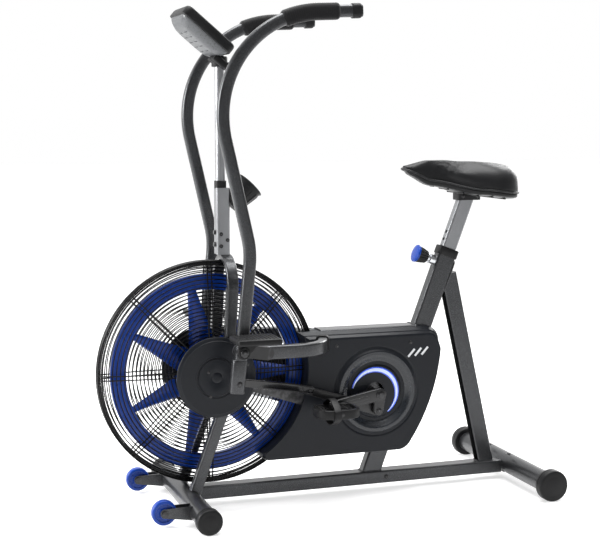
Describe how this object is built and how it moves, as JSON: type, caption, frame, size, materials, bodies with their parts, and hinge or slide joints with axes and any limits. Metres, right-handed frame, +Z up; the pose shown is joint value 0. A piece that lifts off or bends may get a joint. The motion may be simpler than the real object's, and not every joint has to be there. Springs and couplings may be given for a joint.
{
  "type": "air bike",
  "caption": "Exercise bike with a caged fan wheel, swinging handle arms linked to the crank, and a height-adjustable saddle on a tubular frame.",
  "frame": {"origin": "on the floor, under the middle of the bike's box", "axes": "+X runs from the fan to the saddle, +Y to the rider's right, +Z up; the rider faces -X"},
  "size_m": [1.236, 0.594, 1.3291],
  "materials": {
    "frame_paint": "satin charcoal metallic powder coat",
    "post_silver": "satin silver grey",
    "cover_plastic": "fine grained blue black",
    "black_plastic": "moulded black",
    "console_grey": "speckled light grey",
    "screen_glass": "clear window over a grey green display",
    "blue_plastic": "royal blue",
    "cage_wire": "gloss black",
    "bare_steel": "zinc plated",
    "black_steel": "semi gloss black",
    "grip_foam": "soft foam",
    "saddle_vinyl": "fine grained black vinyl"
  },
  "bodies": {
    "frame": {"lower_rail": "frame_paint", "front_tube": "frame_paint", "rear_tube": "frame_paint", "front_caps": "black_plastic", "rear_caps": "black_plastic", "wheel_brackets": "frame_paint", "frame_bolts": "bare_steel", "seat_tube": "frame_paint", "rear_strut": "frame_paint", "upper_rail": "frame_paint", "fork_left": "frame_paint", "fork_right": "frame_paint", "fork_crown": "frame_paint", "stay_left": "frame_paint", "stay_right": "frame_paint", "pivot_bolts": "frame_paint", "foot_rest_left": "black_plastic", "foot_rest_right": "black_plastic", "fan_braces": "frame_paint", "console_post": "post_silver", "console_case": "black_plastic", "console_back": "console_grey", "console_screen": "screen_glass", "bottle_holder": "black_plastic", "cage_left": "cage_wire", "cage_right": "cage_wire", "hub_cover_left": "cover_plastic", "hub_cover_right": "cover_plastic", "fan_axle": "bare_steel", "chain": "bare_steel", "bottom_bracket": "frame_paint", "housing_left": "cover_plastic", "housing_right": "cover_plastic", "housing_screws": "black_steel", "pin_housing": "bare_steel", "pin_spring": "bare_steel"},
    "left_handle": {"handle_left": "frame_paint", "grip_left": "grip_foam"},
    "right_handle": {"handle_right": "frame_paint", "grip_right": "grip_foam"},
    "left_link": {"link_left": "black_steel"},
    "right_link": {"link_right": "black_steel"},
    "crank": {"crank_axle": "bare_steel", "chainring": "black_steel", "crank_left": "black_steel", "crank_right": "black_steel"},
    "left_pedal": {"pedal_left": "black_plastic"},
    "right_pedal": {"pedal_right": "black_plastic"},
    "fan": {"fan_wheel": "blue_plastic", "fan_bearings": "bare_steel", "fan_sprocket": "bare_steel"},
    "seat": {"seat_post": "post_silver", "saddle_base": "black_plastic", "saddle_pad": "saddle_vinyl"},
    "pull_pin": {"pin_knob": "blue_plastic"},
    "left_wheel": {"wheel_left": "blue_plastic"},
    "right_wheel": {"wheel_right": "blue_plastic"},
    "mode_key": {"button_mode": "blue_plastic"},
    "set_key": {"button_set": "blue_plastic"},
    "reset_key": {"button_reset": "blue_plastic"}
  },
  "joints": [
    {"name": "left_arm_swing", "type": "hinge", "parent": "frame", "child": "left_handle", "pos_m": [-0.27824, -0.187, 0.44495], "axis": [0, 1, 0], "range_deg": [-15, 15]},
    {"name": "right_arm_swing", "type": "hinge", "parent": "frame", "child": "right_handle", "pos_m": [-0.27824, 0.187, 0.44495], "axis": [0, 1, 0], "range_deg": [-15, 15]},
    {"name": "left_link_turn", "type": "hinge", "parent": "left_handle", "child": "left_link", "pos_m": [-0.28658, -0.162, 0.36288], "axis": [0, 1, 0], "range_deg": [-15, 15]},
    {"name": "right_link_turn", "type": "hinge", "parent": "right_handle", "child": "right_link", "pos_m": [-0.28658, 0.162, 0.36288], "axis": [0, 1, 0], "range_deg": [-15, 15]},
    {"name": "crank_spin", "type": "hinge", "parent": "frame", "child": "crank", "pos_m": [0.14, 0, 0.288], "axis": [0, -1, 0], "continuous": true},
    {"name": "fan_spin", "type": "hinge", "parent": "frame", "child": "fan", "pos_m": [-0.318, 0, 0.363], "axis": [0, -1, 0], "continuous": true},
    {"name": "left_pedal_turn", "type": "hinge", "parent": "crank", "child": "left_pedal", "pos_m": [-0.00815, -0.152, 0.26454], "axis": [0, 1, 0], "continuous": true},
    {"name": "right_pedal_turn", "type": "hinge", "parent": "crank", "child": "right_pedal", "pos_m": [0.28815, 0.152, 0.31146], "axis": [0, 1, 0], "continuous": true},
    {"name": "seat_slide", "type": "slide", "parent": "frame", "child": "seat", "axis": [0.3502, 0, 0.9367], "range_m": [-0.066, 0.022]},
    {"name": "pin_pull", "type": "slide", "parent": "frame", "child": "pull_pin", "axis": [-0.9367, 0, 0.3502], "range_m": [0, 0.012], "stiffness_N_per_m": 900},
    {"name": "left_wheel_roll", "type": "hinge", "parent": "frame", "child": "left_wheel", "pos_m": [-0.48, -0.167, 0.039], "axis": [0, 1, 0], "continuous": true},
    {"name": "right_wheel_roll", "type": "hinge", "parent": "frame", "child": "right_wheel", "pos_m": [-0.48, 0.167, 0.039], "axis": [0, 1, 0], "continuous": true},
    {"name": "mode_press", "type": "slide", "parent": "frame", "child": "mode_key", "axis": [-0.6428, 0, -0.766], "range_m": [0, 0.0015], "stiffness_N_per_m": 400},
    {"name": "set_press", "type": "slide", "parent": "frame", "child": "set_key", "axis": [-0.6428, 0, -0.766], "range_m": [0, 0.0015], "stiffness_N_per_m": 400},
    {"name": "reset_press", "type": "slide", "parent": "frame", "child": "reset_key", "axis": [-0.6428, 0, -0.766], "range_m": [0, 0.0015], "stiffness_N_per_m": 400}
  ],
  "couplings": [
    {"joint": "right_arm_swing", "follows": "left_arm_swing", "ratio": -1},
    {"joint": "left_link_turn", "follows": "left_arm_swing", "ratio": -1},
    {"joint": "right_link_turn", "follows": "left_arm_swing", "ratio": 1},
    {"joint": "fan_spin", "follows": "crank_spin", "ratio": 3}
  ]
}
